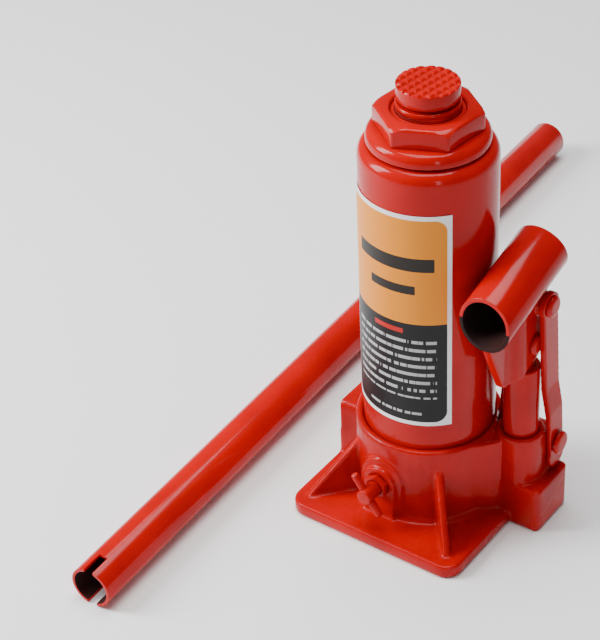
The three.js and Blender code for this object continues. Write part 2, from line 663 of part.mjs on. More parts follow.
function handleSocket() {
  const mouth = SOCKET_BACK - SOCKET_LENGTH;
  const outer = socketRod(SOCKET_R, mouth - 6, SOCKET_BACK, 36);
  const inner = socketRod(SOCKET_R - SOCKET_WALL, mouth - 7, SOCKET_BACK + 1, 36);
  const front = box(-20, 20, -20, 0, -25, 25);
  front.rotateX(-MOUTH_LEAN * Math.PI / 180);
  front.translate(0, mouth, SOCKET_RISE);
  front.applyMatrix4(SOCKET_FRAME);
  add('socket_tube', cut(outer, inner, solid(front)), 'paint', pump);
  const low = EYE_Z - YOKE_DROP;
  const overSleeve = SLEEVE_TOP + YOKE_OVER_SLEEVE;
  const profile = new THREE.Shape();
  profile.moveTo(-NOSE_OUT, YOKE_Z - 7);
  profile.lineTo(-NOSE_FOOT, low);
  profile.lineTo(-SLEEVE_R - 0.8, low + 0.9);
  profile.lineTo(-SLEEVE_R + 0.8, overSleeve);
  profile.lineTo(YOKE_PIN_BACK, overSleeve + 4);
  profile.lineTo(YOKE_PIN_BACK + 4.5, overSleeve + 8);
  profile.lineTo(YOKE_PIN_BACK + 7, YOKE_Z - 4);
  profile.absarc(YOKE_PIN_BACK, YOKE_Z, 7.2, -0.5, 0.9, false);
  profile.lineTo(YOKE_PIN_BACK + 3, YOKE_Z + 14);
  profile.lineTo(-NOSE_OUT, YOKE_Z + 4);
  const plan = outline([
    [-NOSE_HALF, -NOSE_OUT - 5],
    [NOSE_HALF, -NOSE_OUT - 5],
    [NOSE_HALF, -NOSE_FOOT],
    [NOSE_HALF + 0.9, -NOSE_FOOT + 4],
    [CHEEK_OUT - 0.9, -SLOT_FRONT - 4.5],
    [CHEEK_OUT, -SLOT_FRONT - 1],
    [CHEEK_OUT, 30],
    [-CHEEK_OUT, 30],
    [-CHEEK_OUT, -SLOT_FRONT - 1],
    [-CHEEK_OUT + 0.9, -SLOT_FRONT - 4.5],
    [-NOSE_HALF - 0.9, -NOSE_FOOT + 4],
    [-NOSE_HALF, -NOSE_FOOT],
  ]);
  const column = new THREE.ExtrudeGeometry(plan, { depth: 80, bevelEnabled: false });
  column.translate(0, 0, low - 5);
  const block = solid(sidePlate(profile, -CHEEK_OUT, CHEEK_OUT)).intersect(solid(column));
  const inside = CHEEK_OUT - CHEEK_THICK;
  const slot = solid(box(-inside, inside, -SLOT_FRONT, 30, low - 5, YOKE_Z + 30));
  const tube = socketRod(SOCKET_R + GAP, mouth - 5, SOCKET_BACK + 5, 36);
  const holes = [[0, EYE_Z], [YOKE_PIN_BACK, YOKE_Z]].map(([y, z]) =>
    solid(alongX(rod(PIN_R + GAP, -12, 12, 20), 0, y, z)));
  const spacers = [-1, 1].map((s) => {
    const from = s * (inside + 0.5);
    const to = s * (LINK_UPPER - WORK_GAP);
    return solid(alongX(rod(6, Math.min(from, to), Math.max(from, to), 20), 0, YOKE_PIN_BACK, YOKE_Z));
  });
  const above = socketRod(SOCKET_R - 1, mouth - 5, SOCKET_BACK + 5, 24);
  const yoke = cut(join(block, ...spacers), slot, tube, above, ...holes);
  add('socket_yoke', yoke.decompose().sort((p, q) => q.volume() - p.volume())[0], 'paint', pump);
}

function pin(name, y, z, reach, headR = HEAD_R) {
  const headFace = reach + GAP;
  const shank = solid(alongX(rod(PIN_R, -headFace - CLIP_THICK - PIN_TAIL, headFace + 0.2, 24), 0, y, z));
  const head = solid(alongX(turned([
    [0, headFace],
    [headR, headFace],
    [headR, headFace + HEAD_THICK * 0.5],
    [headR - 1.2, headFace + HEAD_THICK],
    [0, headFace + HEAD_THICK],
  ], 20), 0, y, z));
  add(`${name}_pin`, shank.add(head), 'paint', pump);
  add(`${name}_pin_clip`,
    solid(alongX(pipe(CLIP_R, PIN_R + GAP, -headFace - CLIP_THICK, -headFace, 24), 0, y, z)), 'spring', pump);
}

function link(name, side, tail) {
  const low = BASE_PIN_Z + LINK_SPAN * LINK_BEND_LOW;
  const high = BASE_PIN_Z + LINK_SPAN * LINK_BEND_HIGH;
  const top = BASE_PIN_Z + LINK_SPAN;
  const t = LINK_THICK;
  const section = outline([
    [side * LINK_LOWER, BASE_PIN_Z - 20],
    [side * (LINK_LOWER + t), BASE_PIN_Z - 20],
    [side * (LINK_LOWER + t), low],
    [side * (LINK_UPPER + t), high],
    [side * (LINK_UPPER + t), top + 9],
    [side * LINK_UPPER, top + 9],
    [side * LINK_UPPER, high],
    [side * LINK_LOWER, low],
  ]);
  const strap = solid(frontPlate(section, -20, 14));
  const face = new THREE.Shape();
  const half = LINK_WIDTH / 2;
  const lean = Math.acos(half / LINK_END_R);
  face.absarc(0, BASE_PIN_Z - tail, LINK_END_R, Math.PI - lean, 2 * Math.PI + lean, false);
  face.absarc(0, top, LINK_END_R, -lean, Math.PI + lean, false);
  const blade = solid(sidePlate(face, -20, 14));
  const stand = new THREE.Matrix4().makeTranslation(0, BASE_PIN_BACK, BASE_PIN_Z)
    .multiply(new THREE.Matrix4().makeRotationX(-LINK_SLANT))
    .multiply(new THREE.Matrix4().makeTranslation(0, 0, -BASE_PIN_Z));
  const holes = [BASE_PIN_Z, top].map((z) => solid(alongX(rod(PIN_R + WORK_GAP, -20, 20, 24), 0, 0, z)));
  const shape = cut(strap.intersect(blade), ...holes);
  const node = add(name, shape, 'paint', pump);
  node.applyMatrix4(stand);
}

// ---------- valves in the base ----------
function releaseValve() {
  const valve = new THREE.Group();
  valve.position.set(VALVE_X, BOSS_FRONT, VALVE_Z);
  jack.add(valve);
  const ballY = VALVE_DEPTH - Math.sqrt(BALL_R ** 2 - VALVE_PORT_R ** 2) - GAP;
  const inward = ballY - BALL_R - GAP;
  const [grooveFrom, grooveTo] = ORING_GROOVE;
  const spindle = solid(alongY(turned([
    [0, -SPINDLE_OUT],
    [SPINDLE_R - 0.6, -SPINDLE_OUT],
    [SPINDLE_R, -SPINDLE_OUT + 0.8],
    [SPINDLE_R, grooveFrom],
    [SPINDLE_R - 1.2, grooveFrom],
    [SPINDLE_R - 1.2, grooveTo],
    [SPINDLE_R, grooveTo],
    [SPINDLE_R, inward - 2],
    [SPINDLE_R - 1.8, inward],
    [0, inward],
  ], 20), 0, 0, 0));
  const pinY = -SPINDLE_OUT + CROSS_PIN_R + 1.4;
  const tilt = (angle, geometry) => {
    geometry.rotateY((90 - angle) * -Math.PI / 180);
    geometry.translate(0, pinY, 0);
    return geometry;
  };
  const half = CROSS_PIN_LENGTH / 2;
  const hole = solid(tilt(CROSS_PIN_TILT, rod(CROSS_PIN_R + 0.3, -half, half, 14)));
  add('release_spindle', cut(spindle, hole), 'paint', valve);
  add('release_cross_pin', solid(tilt(CROSS_PIN_TILT, turned([
    [0, -half],
    [CROSS_PIN_R - 0.5, -half],
    [CROSS_PIN_R, -half + 0.6],
    [CROSS_PIN_R, half - 0.6],
    [CROSS_PIN_R - 0.5, half],
    [0, half],
  ], 14))), 'paint', valve);
  const hexagon = new THREE.CylinderGeometry(GLAND_R, GLAND_R, GLAND_OUT, 6);
  hexagon.translate(0, -GLAND_OUT / 2 - GAP, 0);
  const neck = solid(alongY(rod(VALVE_BORE - GAP, -1, GLAND_NECK, 20), 0, 0, 0));
  const through = solid(alongY(rod(SPINDLE_R + WORK_GAP, -10, 10, 20), 0, 0, 0));
  add('release_gland', cut(solid(hexagon).add(neck), through), 'steel', valve);
  const seal = pipe(VALVE_BORE - GAP, SPINDLE_R - 1.2 + GAP, grooveFrom + GAP, grooveTo - GAP, 20);
  add('release_oring', solid(alongY(seal, 0, 0, 0)), 'rubber', valve);
  const ball = new THREE.SphereGeometry(BALL_R, 16, 10);
  ball.translate(0, ballY, 0);
  add('release_ball', solid(ball), 'steel', valve);
}

function pumpValves() {
  const ball = (name, x, y, z) => {
    const node = add(name, solid(new THREE.SphereGeometry(BALL_R, 16, 10)), 'steel');
    node.position.set(x, y, z);
  };
  ball('suction_ball', PUMP_X, PUMP_Y, PASSAGE_Z);
  ball('delivery_ball', CYL_R + 6, PUMP_Y, PASSAGE_Z);
  const spring = add('delivery_spring', solid(coil(1.9, 9, 4)), 'spring');
  spring.rotation.y = -Math.PI / 2;
  spring.position.set(CYL_R + 6 - BALL_R - 1.2, PUMP_Y, PASSAGE_Z);
  const plug = rod(PASSAGE_R - GAP, 0.8, 0.8 + PLUG_LENGTH, 20);
  add('passage_plug', solid(plug.translate(PUMP_X, PUMP_Y, 0)), 'steel');
  ball('relief_ball', 0, 20 + BALL_R + 0.8, PASSAGE_Z);
  const relief = add('relief_spring', solid(coil(2.6, 7, 4)), 'spring');
  relief.rotation.x = -Math.PI / 2;
  relief.position.set(0, 20 + 2 * BALL_R + 1.8, PASSAGE_Z);
  const screwFrom = 20 + 2 * BALL_R + 10;
  const screw = solid(alongY(rod(4, screwFrom, RING_R + 1, 24), 0, 0, PASSAGE_Z));
  const slot = solid(box(-5, 5, RING_R - 0.6, RING_R + 3, PASSAGE_Z - 0.7, PASSAGE_Z + 0.7));
  add('relief_screw', cut(screw, slot), 'steel');
}

// ---------- loose handle ----------
function pumpHandle() {
  const wall = solid(alongY(pipe(HANDLE_R, HANDLE_R - HANDLE_WALL, 0, HANDLE_LENGTH, 30), 0, 0, 0));
  const slots = solid(box(-SLOT_WIDTH / 2, SLOT_WIDTH / 2, -1, SLOT_LENGTH, -HANDLE_R - 1, HANDLE_R + 1));
  const node = add('handle_tube', cut(wall, slots), 'paint');
  node.rotation.z = HANDLE_TURN * Math.PI / 180;
  node.position.set(HANDLE_NEAR[0], HANDLE_NEAR[1], HANDLE_R);
}

baseCasting();
reservoirTube();
pressureCylinder();
tankGaskets();
topNut();
ramAndPiston();
extensionScrew();
fillerPlug();
ratingLabel();
pumpBarrel();
pumpPlunger();
handleSocket();
pin('plunger', 0, EYE_Z, CHEEK_OUT);
pin('yoke', YOKE_PIN_BACK, YOKE_Z, LINK_UPPER + LINK_THICK);
pin('base', BASE_PIN_BACK, BASE_PIN_Z, LINK_LOWER + LINK_THICK, BASE_HEAD_R);
link('link_right', 1, LINK_TAIL);
link('link_left', -1, 0);
releaseValve();
pumpValves();
pumpHandle();

export default jack;
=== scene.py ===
import math

import bpy
from mathutils import Matrix, Vector


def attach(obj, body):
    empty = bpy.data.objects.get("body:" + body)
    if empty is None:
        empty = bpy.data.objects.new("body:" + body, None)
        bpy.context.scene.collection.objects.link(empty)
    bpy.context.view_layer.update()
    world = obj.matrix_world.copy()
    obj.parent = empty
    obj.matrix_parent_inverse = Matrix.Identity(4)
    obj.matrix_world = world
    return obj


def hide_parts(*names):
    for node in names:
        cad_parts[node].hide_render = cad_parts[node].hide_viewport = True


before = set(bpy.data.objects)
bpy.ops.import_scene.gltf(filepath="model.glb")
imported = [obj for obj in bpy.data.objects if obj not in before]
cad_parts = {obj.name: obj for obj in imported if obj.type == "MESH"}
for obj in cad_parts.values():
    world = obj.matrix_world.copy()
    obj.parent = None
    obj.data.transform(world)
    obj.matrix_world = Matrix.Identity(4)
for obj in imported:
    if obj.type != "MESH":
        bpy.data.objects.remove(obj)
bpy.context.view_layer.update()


# ---------------------------------------------------------------- camera
# A long lens on a 36 mm sensor, at the front right, looking down and rolled slightly.
# It stands about a metre off, which keeps the uprights of the jack nearly parallel.
CAMERA_BEARING = 37.558
CAMERA_DIP = 36.187
CAMERA_ROLL = -2.959
camera_turn = Matrix.Rotation(math.radians(CAMERA_BEARING), 4, "Z")
camera_tip = Matrix.Rotation(math.radians(90 - CAMERA_DIP), 4, "X")
camera_roll = Matrix.Rotation(math.radians(CAMERA_ROLL), 4, "Z")
bpy.ops.object.camera_add(
    location=(0.42246, -0.65062, 0.67257),
    rotation=(camera_turn @ camera_tip @ camera_roll).to_euler(),
)
camera = bpy.context.object
camera.data.lens = 112.95
camera.data.sensor_width = 36
camera.data.clip_end = 20
bpy.context.scene.camera = camera


# ---------------------------------------------------------------- studio
# A pale floor under a large soft box to the left and another overhead.
# A weak strip on the right and a dim white surround open up the shadows.
def soft_box(name, place, aim, size, power):
    bpy.ops.object.light_add(type="AREA", location=place)
    lamp = bpy.context.object
    lamp.name = name
    lamp.data.shape = "RECTANGLE"
    lamp.data.size, lamp.data.size_y = size
    lamp.data.energy = power
    lamp.rotation_euler = (Vector(aim) - Vector(place)).to_track_quat("-Z", "Y").to_euler()


soft_box("left_soft_box", (-0.95, -0.6, 0.8), (0, 0, 0.12), (0.45, 0.9), 30)
soft_box("right_soft_box", (1.0, -0.9, 0.5), (0, 0, 0.1), (0.12, 0.7), 2)
soft_box("overhead_soft_box", (-0.1, 0.1, 1.5), (0, 0, 0), (0.9, 0.9), 24)

studio = bpy.data.worlds.new("studio")
bpy.context.scene.world = studio
studio.use_nodes = True
surround = studio.node_tree.nodes["Background"]
surround.inputs["Color"].default_value = (1, 1, 1, 1)
surround.inputs["Strength"].default_value = 0.22

bpy.ops.object.select_all(action="DESELECT")
bpy.ops.mesh.primitive_plane_add(size=14, location=(0, 0, -0.0002))
floor = bpy.context.object
floor.name = "floor"
floor_paint = bpy.data.materials.new("floor_paint")
floor_paint.use_nodes = True
floor_shader = floor_paint.node_tree.nodes["Principled BSDF"]
floor_shader.inputs["Base Color"].default_value = (0.92, 0.92, 0.92, 1)
floor_shader.inputs["Roughness"].default_value = 0.7
floor.data.materials.append(floor_paint)


# ---------------------------------------------------------------- base casting
# One iron sand casting: foot plate, ring, fin, corner ribs, valve boss and pump pedestal.
# Its edges and roots are soft from the mould, and it carries thick gloss red paint.
MM = 0.001


def only(piece):
    bpy.ops.object.select_all(action="DESELECT")
    piece.select_set(True)
    bpy.context.view_layer.objects.active = piece


def apply_modifiers(piece):
    only(piece)
    for modifier in list(piece.modifiers):
        bpy.ops.object.modifier_apply(modifier=modifier.name)


def copy_of(node, name):
    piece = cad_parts[node].copy()
    piece.data = piece.data.copy()
    piece.parent = None
    for key in list(piece.keys()):
        del piece[key]
    bpy.context.scene.collection.objects.link(piece)
    piece.name = name
    piece.data.materials.clear()
    only(piece)
    bpy.ops.object.mode_set(mode="EDIT")
    bpy.ops.mesh.select_all(action="SELECT")
    bpy.ops.mesh.remove_doubles(threshold=0.00001)
    bpy.ops.object.mode_set(mode="OBJECT")
    return piece


def soften(piece, voxel, rounds, factor=0.5):
    remesh = piece.modifiers.new("voxels", "REMESH")
    remesh.mode = "VOXEL"
    remesh.voxel_size = voxel * MM
    smooth = piece.modifiers.new("soft", "SMOOTH")
    smooth.factor = factor
    smooth.iterations = rounds
    apply_modifiers(piece)
    bpy.ops.object.shade_smooth()


def node(tree, kind, place, **settings):
    made = tree.nodes.new(kind)
    made.location = place
    for key, value in settings.items():
        setattr(made, key, value)
    return made


def new_group(name, inputs, outputs):
    tree = bpy.data.node_groups.new(name, "ShaderNodeTree")
    for label, kind, value in inputs:
        socket = tree.interface.new_socket(name=label, in_out="INPUT", socket_type=kind)
        if value is not None:
            socket.default_value = value
    for label, kind in outputs:
        tree.interface.new_socket(name=label, in_out="OUTPUT", socket_type=kind)
    return tree, node(tree, "NodeGroupInput", (-900, 0)), node(tree, "NodeGroupOutput", (700, 0))


def paint_film_group():
    tree, given, made = new_group(
        "paint_film",
        [
            ("Position", "NodeSocketVector", None),
            ("Colour", "NodeSocketColor", (0.6, 0.01, 0.01, 1)),
            ("Deep Colour", "NodeSocketColor", (0.4, 0.0, 0.01, 1)),
            ("Peel Scale", "NodeSocketFloat", 700.0),
            ("Lump Scale", "NodeSocketFloat", 90.0),
            ("Lump Share", "NodeSocketFloat", 0.3),
            ("Roughness", "NodeSocketFloat", 0.2),
            ("Roughness Spread", "NodeSocketFloat", 0.08),
        ],
        [
            ("Colour", "NodeSocketColor"),
            ("Roughness", "NodeSocketFloat"),
            ("Height", "NodeSocketFloat"),
        ],
    )
    link = tree.links.new
    peel = node(tree, "ShaderNodeTexNoise", (-600, 200))
    peel.inputs["Detail"].default_value = 2
    link(given.outputs["Position"], peel.inputs["Vector"])
    link(given.outputs["Peel Scale"], peel.inputs["Scale"])
    lump = node(tree, "ShaderNodeTexNoise", (-600, -50))
    lump.inputs["Detail"].default_value = 3
    link(given.outputs["Position"], lump.inputs["Vector"])
    link(given.outputs["Lump Scale"], lump.inputs["Scale"])
    height = node(tree, "ShaderNodeMix", (-200, 200), data_type="FLOAT")
    link(given.outputs["Lump Share"], height.inputs["Factor"])
    link(peel.outputs["Fac"], height.inputs[2])
    link(lump.outputs["Fac"], height.inputs[3])
    link(height.outputs[0], made.inputs["Height"])
    drift = node(tree, "ShaderNodeTexNoise", (-600, -300))
    drift.inputs["Scale"].default_value = 35
    drift.inputs["Detail"].default_value = 4
    link(given.outputs["Position"], drift.inputs["Vector"])
    contrast = node(tree, "ShaderNodeMapRange", (-400, -300))
    contrast.inputs["From Min"].default_value = 0.35
    contrast.inputs["From Max"].default_value = 0.7
    link(drift.outputs["Fac"], contrast.inputs["Value"])
    tint = node(tree, "ShaderNodeMix", (-200, -50), data_type="RGBA")
    link(contrast.outputs["Result"], tint.inputs["Factor"])
    link(given.outputs["Colour"], tint.inputs[6])
    link(given.outputs["Deep Colour"], tint.inputs[7])
    link(tint.outputs[2], made.inputs["Colour"])
    spread = node(tree, "ShaderNodeMath", (-200, -300), operation="MULTIPLY_ADD")
    link(contrast.outputs["Result"], spread.inputs[0])
    link(given.outputs["Roughness Spread"], spread.inputs[1])
    link(given.outputs["Roughness"], spread.inputs[2])
    link(spread.outputs[0], made.inputs["Roughness"])
    return tree


paint_film = paint_film_group()


def painted(name, colour, deep, peel, lumps, share, rough, spread, bump, coat, metal=0):
    material = bpy.data.materials.new(name)
    material.use_nodes = True
    tree = material.node_tree
    shader = tree.nodes["Principled BSDF"]
    place = node(tree, "ShaderNodeTexCoord", (-900, 0))
    film = node(tree, "ShaderNodeGroup", (-600, 0), node_tree=paint_film)
    film.inputs["Colour"].default_value = (*colour, 1)
    film.inputs["Deep Colour"].default_value = (*deep, 1)
    film.inputs["Peel Scale"].default_value = peel
    film.inputs["Lump Scale"].default_value = lumps
    film.inputs["Lump Share"].default_value = share
    film.inputs["Roughness"].default_value = rough
    film.inputs["Roughness Spread"].default_value = spread
    relief = node(tree, "ShaderNodeBump", (-300, -200))
    relief.inputs["Strength"].default_value = bump
    relief.inputs["Distance"].default_value = 0.0004
    tree.links.new(place.outputs["Object"], film.inputs["Position"])
    tree.links.new(film.outputs["Colour"], shader.inputs["Base Color"])
    tree.links.new(film.outputs["Roughness"], shader.inputs["Roughness"])
    tree.links.new(film.outputs["Height"], relief.inputs["Height"])
    tree.links.new(relief.outputs["Normal"], shader.inputs["Normal"])
    shader.inputs["Metallic"].default_value = metal
    shader.inputs["Coat Weight"].default_value = coat
    shader.inputs["Coat Roughness"].default_value = 0.06
    shader.inputs["Specular IOR Level"].default_value = 0.5 if metal else 0.14
    return material


def add_piece(piece, material, body, *nodes):
    if not piece.data.materials:
        piece.data.materials.append(material)
    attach(piece, body)
    if nodes:
        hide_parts(*nodes)


casting_red = painted(
    "casting_red",
    colour=(0.48, 0.0, 0.0008),
    deep=(0.32, 0.0, 0.0006),
    peel=420,
    lumps=70,
    share=0.55,
    rough=0.22,
    spread=0.1,
    bump=0.5,
    coat=0.08,
)

base = copy_of("base_casting", "base_casting_painted")
soften(base, voxel=0.85, rounds=7)
add_piece(base, casting_red, "base", "base_casting")


# ---------------------------------------------------------------- oil tank tube
# A smooth steel tube, its top edge rolled inwards under the nut, in thin gloss enamel.
# A round filler hole is drilled high in its back.
TANK_RADIUS = 32.5
TANK_BORE = 30
TANK_FOOT = 46.2
TANK_TOP = 203.6
LIP_RADIUS = 24.5
LIP_UNDERSIDE = 201.1
FILLER_HEIGHT = 181.6
FILLER_HOLE_RADIUS = 4.2


def turned(name, profile, sides=96, closed=False):
    (radius, height), *rest = profile
    bpy.ops.object.select_all(action="DESELECT")
    bpy.ops.mesh.primitive_circle_add(
        vertices=sides,
        radius=radius * MM,
        fill_type="NOTHING" if closed else "NGON",
        location=(0, 0, 0),
    )
    piece = bpy.context.object
    piece.name = name
    bpy.ops.object.mode_set(mode="EDIT")
    bpy.ops.mesh.select_all(action="SELECT")
    bpy.ops.transform.translate(value=(0, 0, height * MM))
    for wider, higher in [*rest, (radius, height)] if closed else rest:
        rise = (0, 0, (higher - height) * MM)
        bpy.ops.mesh.extrude_region_move(TRANSFORM_OT_translate={"value": rise})
        ratio = wider / radius
        bpy.ops.transform.resize(value=(ratio, ratio, 1), center_override=(0, 0, higher * MM))
        radius, height = wider, higher
    bpy.ops.mesh.select_all(action="SELECT")
    bpy.ops.mesh.remove_doubles(threshold=0.000002)
    bpy.ops.mesh.normals_make_consistent(inside=False)
    bpy.ops.object.mode_set(mode="OBJECT")
    return piece


def smooth_faces(piece, angle=40):
    only(piece)
    bpy.ops.object.shade_smooth_by_angle(angle=math.radians(angle))


def combine(piece, tool, operation="DIFFERENCE"):
    join = piece.modifiers.new("combine", "BOOLEAN")
    join.operation = operation
    join.solver = "EXACT"
    join.object = tool
    apply_modifiers(piece)
    bpy.data.objects.remove(tool)


def roll(outer, top, reach, height, steps=8):
    angles = [math.pi / 2 * step / steps for step in range(steps + 1)]
    return [
        (outer - reach * (1 - math.cos(angle)), top - height * (1 - math.sin(angle)))
        for angle in angles
    ]


enamel_red = painted(
    "enamel_red",
    colour=(0.48, 0.0, 0.0008),
    deep=(0.38, 0.0, 0.0006),
    peel=260,
    lumps=40,
    share=0.5,
    rough=0.15,
    spread=0.06,
    bump=0.12,
    coat=0.1,
)

tank = turned(
    "tank_tube_enamel",
    [
        (TANK_BORE, TANK_FOOT),
        (TANK_RADIUS, TANK_FOOT),
        (TANK_RADIUS, 120),
        *roll(TANK_RADIUS, TANK_TOP, reach=5, height=6.1),
        (LIP_RADIUS, TANK_TOP),
        (LIP_RADIUS, LIP_UNDERSIDE),
        (27, LIP_UNDERSIDE),
        (TANK_BORE, 196.5),
    ],
    144,
    closed=True,
)
bpy.ops.mesh.primitive_cylinder_add(
    vertices=48,
    radius=FILLER_HOLE_RADIUS * MM,
    depth=10 * MM,
    location=(0, TANK_RADIUS * MM, FILLER_HEIGHT * MM),
)
bpy.context.object.rotation_euler = (math.pi / 2, 0, 0)
combine(tank, bpy.context.object)
smooth_faces(tank)
add_piece(tank, enamel_red, "base", "reservoir_tube")


# ---------------------------------------------------------------- rating label
# A printed white sheet round the tank's front: an amber panel over a black one, in one frame.
# Plain bars and broken lines stand where printing would be.
LABEL_RADIUS = 32.8
LABEL_FILM = 0.25
LABEL_SPAN = 108
LABEL_TURN = -2.5
LABEL_MIDDLE = 123.9
LABEL_HEIGHT = 118.8
PRINT_RADIUS = 33.05
PRINT_SHIFT = 1.44
SHEET_WHITE = (0.86, 0.85, 0.86)
PANEL_BLACK = (0.002, 0.002, 0.003)
PANEL_AMBER = (0.78, 0.25, 0.0)
BAR_BROWN = (0.012, 0.008, 0.006)
BAR_RED = (0.5, 0.004, 0.004)
LINE_GREY = (0.42, 0.42, 0.44)


def reckoned(tree, operation, spot, *values):
    step = node(tree, "ShaderNodeMath", spot, operation=operation)
    for socket, value in zip(step.inputs, values):
        if isinstance(value, bpy.types.NodeSocket):
            tree.links.new(value, socket)
        else:
            socket.default_value = value
    return step.outputs[0]


def panel_mask_group():
    tree, given, made = new_group(
        "panel_mask",
        [
            ("Across", "NodeSocketFloat", 0.0),
            ("Up", "NodeSocketFloat", 0.0),
            ("Middle Across", "NodeSocketFloat", 0.0),
            ("Middle Up", "NodeSocketFloat", 0.0),
            ("Half Width", "NodeSocketFloat", 10.0),
            ("Half Height", "NodeSocketFloat", 10.0),
            ("Corner", "NodeSocketFloat", 1.0),
        ],
        [("Mask", "NodeSocketFloat")],
    )
    corner = given.outputs["Corner"]
    squares = []
    for high, value, middle, half in (
        (200, "Across", "Middle Across", "Half Width"),
        (-100, "Up", "Middle Up", "Half Height"),
    ):
        value, middle, half = (given.outputs[label] for label in (value, middle, half))
        offset = reckoned(tree, "SUBTRACT", (-700, high), value, middle)
        size = reckoned(tree, "ABSOLUTE", (-540, high), offset)
        inner = reckoned(tree, "SUBTRACT", (-540, high - 140), half, corner)
        past = reckoned(tree, "SUBTRACT", (-380, high), size, inner)
        kept = reckoned(tree, "MAXIMUM", (-220, high), past, 0)
        squares.append(reckoned(tree, "MULTIPLY", (-60, high), kept, kept))
    total = reckoned(tree, "ADD", (100, 0), *squares)
    away = reckoned(tree, "SQRT", (260, 0), total)
    tree.links.new(reckoned(tree, "LESS_THAN", (420, 0), away, corner), made.inputs["Mask"])
    return tree


def broken_lines_group():
    stroke_share, row_shift, word_gap = 0.38, 37.3, 0.42
    tree, given, made = new_group(
        "broken_lines",
        [
            ("Across", "NodeSocketFloat", 0.0),
            ("Up", "NodeSocketFloat", 0.0),
            ("Pitch", "NodeSocketFloat", 4.0),
        ],
        [("Mask", "NodeSocketFloat")],
    )
    rows = reckoned(tree, "DIVIDE", (-700, 100), given.outputs["Up"], given.outputs["Pitch"])
    number = reckoned(tree, "FLOOR", (-540, 0), rows)
    within = reckoned(tree, "FRACT", (-540, 200), rows)
    stroke = reckoned(tree, "LESS_THAN", (-380, 200), within, stroke_share)
    shift = reckoned(tree, "MULTIPLY", (-380, -150), number, row_shift)
    spot = node(tree, "ShaderNodeCombineXYZ", (-380, 0))
    tree.links.new(given.outputs["Across"], spot.inputs["X"])
    tree.links.new(shift, spot.inputs["Y"])
    breaks = node(tree, "ShaderNodeTexNoise", (-200, 0))
    breaks.inputs["Scale"].default_value = 0.55
    breaks.inputs["Detail"].default_value = 1
    tree.links.new(spot.outputs[0], breaks.inputs["Vector"])
    word = reckoned(tree, "GREATER_THAN", (0, 0), breaks.outputs["Fac"], word_gap)
    tree.links.new(reckoned(tree, "MULTIPLY", (200, 100), stroke, word), made.inputs["Mask"])
    return tree


panel_mask = panel_mask_group()
label_print = bpy.data.materials.new("label_print")
label_print.use_nodes = True
tree = label_print.node_tree
link = tree.links.new
shader = tree.nodes["Principled BSDF"]
place = node(tree, "ShaderNodeTexCoord", (-1900, 0))
apart = node(tree, "ShaderNodeSeparateXYZ", (-1700, 0))
link(place.outputs["Object"], apart.inputs[0])
forward = reckoned(tree, "MULTIPLY", (-1500, -100), apart.outputs["Y"], -1)
bearing = reckoned(tree, "ARCTAN2", (-1340, 0), apart.outputs["X"], forward)
across = reckoned(tree, "MULTIPLY_ADD", (-1180, 0), bearing, PRINT_RADIUS, PRINT_SHIFT)
up = reckoned(tree, "MULTIPLY", (-1180, -200), apart.outputs["Z"], 1 / MM)


def panel(row, middle, half, corner):
    mask = node(tree, "ShaderNodeGroup", (-900, 900 - 260 * row), node_tree=panel_mask)
    link(across, mask.inputs["Across"])
    link(up, mask.inputs["Up"])
    mask.inputs["Middle Across"].default_value, mask.inputs["Middle Up"].default_value = middle
    mask.inputs["Half Width"].default_value, mask.inputs["Half Height"].default_value = half
    mask.inputs["Corner"].default_value = corner
    return mask.outputs["Mask"]


lines = node(tree, "ShaderNodeGroup", (-900, -1200), node_tree=broken_lines_group())
link(across, lines.inputs["Across"])
link(up, lines.inputs["Up"])
lines.inputs["Pitch"].default_value = 4.7
strokes = lines.outputs["Mask"]
whole_panel = panel(0, middle=(0, LABEL_MIDDLE), half=(28.9, 57.2), corner=6)
upper_half = panel(1, middle=(0, 164), half=(40, 40), corner=0.1)
text_block = panel(5, middle=(1, 98), half=(23, 17.4), corner=0.2)
foot_lines = panel(6, middle=(2, 73), half=(15, 2.2), corner=0.2)
layers = [
    (whole_panel, PANEL_BLACK),
    (reckoned(tree, "MULTIPLY", (-600, 700), whole_panel, upper_half), PANEL_AMBER),
    (panel(2, middle=(2, 157), half=(21, 3.6), corner=0.4), BAR_BROWN),
    (panel(3, middle=(2, 143), half=(12, 2.4), corner=0.4), BAR_BROWN),
    (panel(4, middle=(0, 119.4), half=(8, 1.3), corner=0.3), BAR_RED),
    (reckoned(tree, "MULTIPLY", (-600, -900), strokes, text_block), LINE_GREY),
    (reckoned(tree, "MULTIPLY", (-600, -1100), strokes, foot_lines), LINE_GREY),
]
colour = None
for row, (mask, tint) in enumerate(layers):
    ink = node(tree, "ShaderNodeMix", (-400 + 170 * row, 200), data_type="RGBA")
    ink.inputs[6].default_value = (*SHEET_WHITE, 1)
    ink.inputs[7].default_value = (*tint, 1)
    link(mask, ink.inputs["Factor"])
    if colour:
        link(colour, ink.inputs[6])
    colour = ink.outputs[2]
link(colour, shader.inputs["Base Color"])
shader.inputs["Roughness"].default_value = 0.4
shader.inputs["Specular IOR Level"].default_value = 0.25

bpy.ops.object.select_all(action="DESELECT")
bpy.ops.mesh.primitive_grid_add(x_subdivisions=72, y_subdivisions=24, size=1, location=(0, 0, 0))
label = bpy.context.object
label.name = "rating_label_sheet"
for corner in label.data.vertices:
    angle = math.radians(LABEL_SPAN * corner.co.x + LABEL_TURN)
    corner.co = (
        LABEL_RADIUS * MM * math.sin(angle),
        -LABEL_RADIUS * MM * math.cos(angle),
        (LABEL_MIDDLE + LABEL_HEIGHT * corner.co.y) * MM,
    )
sheet = label.modifiers.new("sheet", "SOLIDIFY")
sheet.thickness = LABEL_FILM * MM
sheet.offset = 1
apply_modifiers(label)
smooth_faces(label)
add_piece(label, label_print, "base", "rating_label")


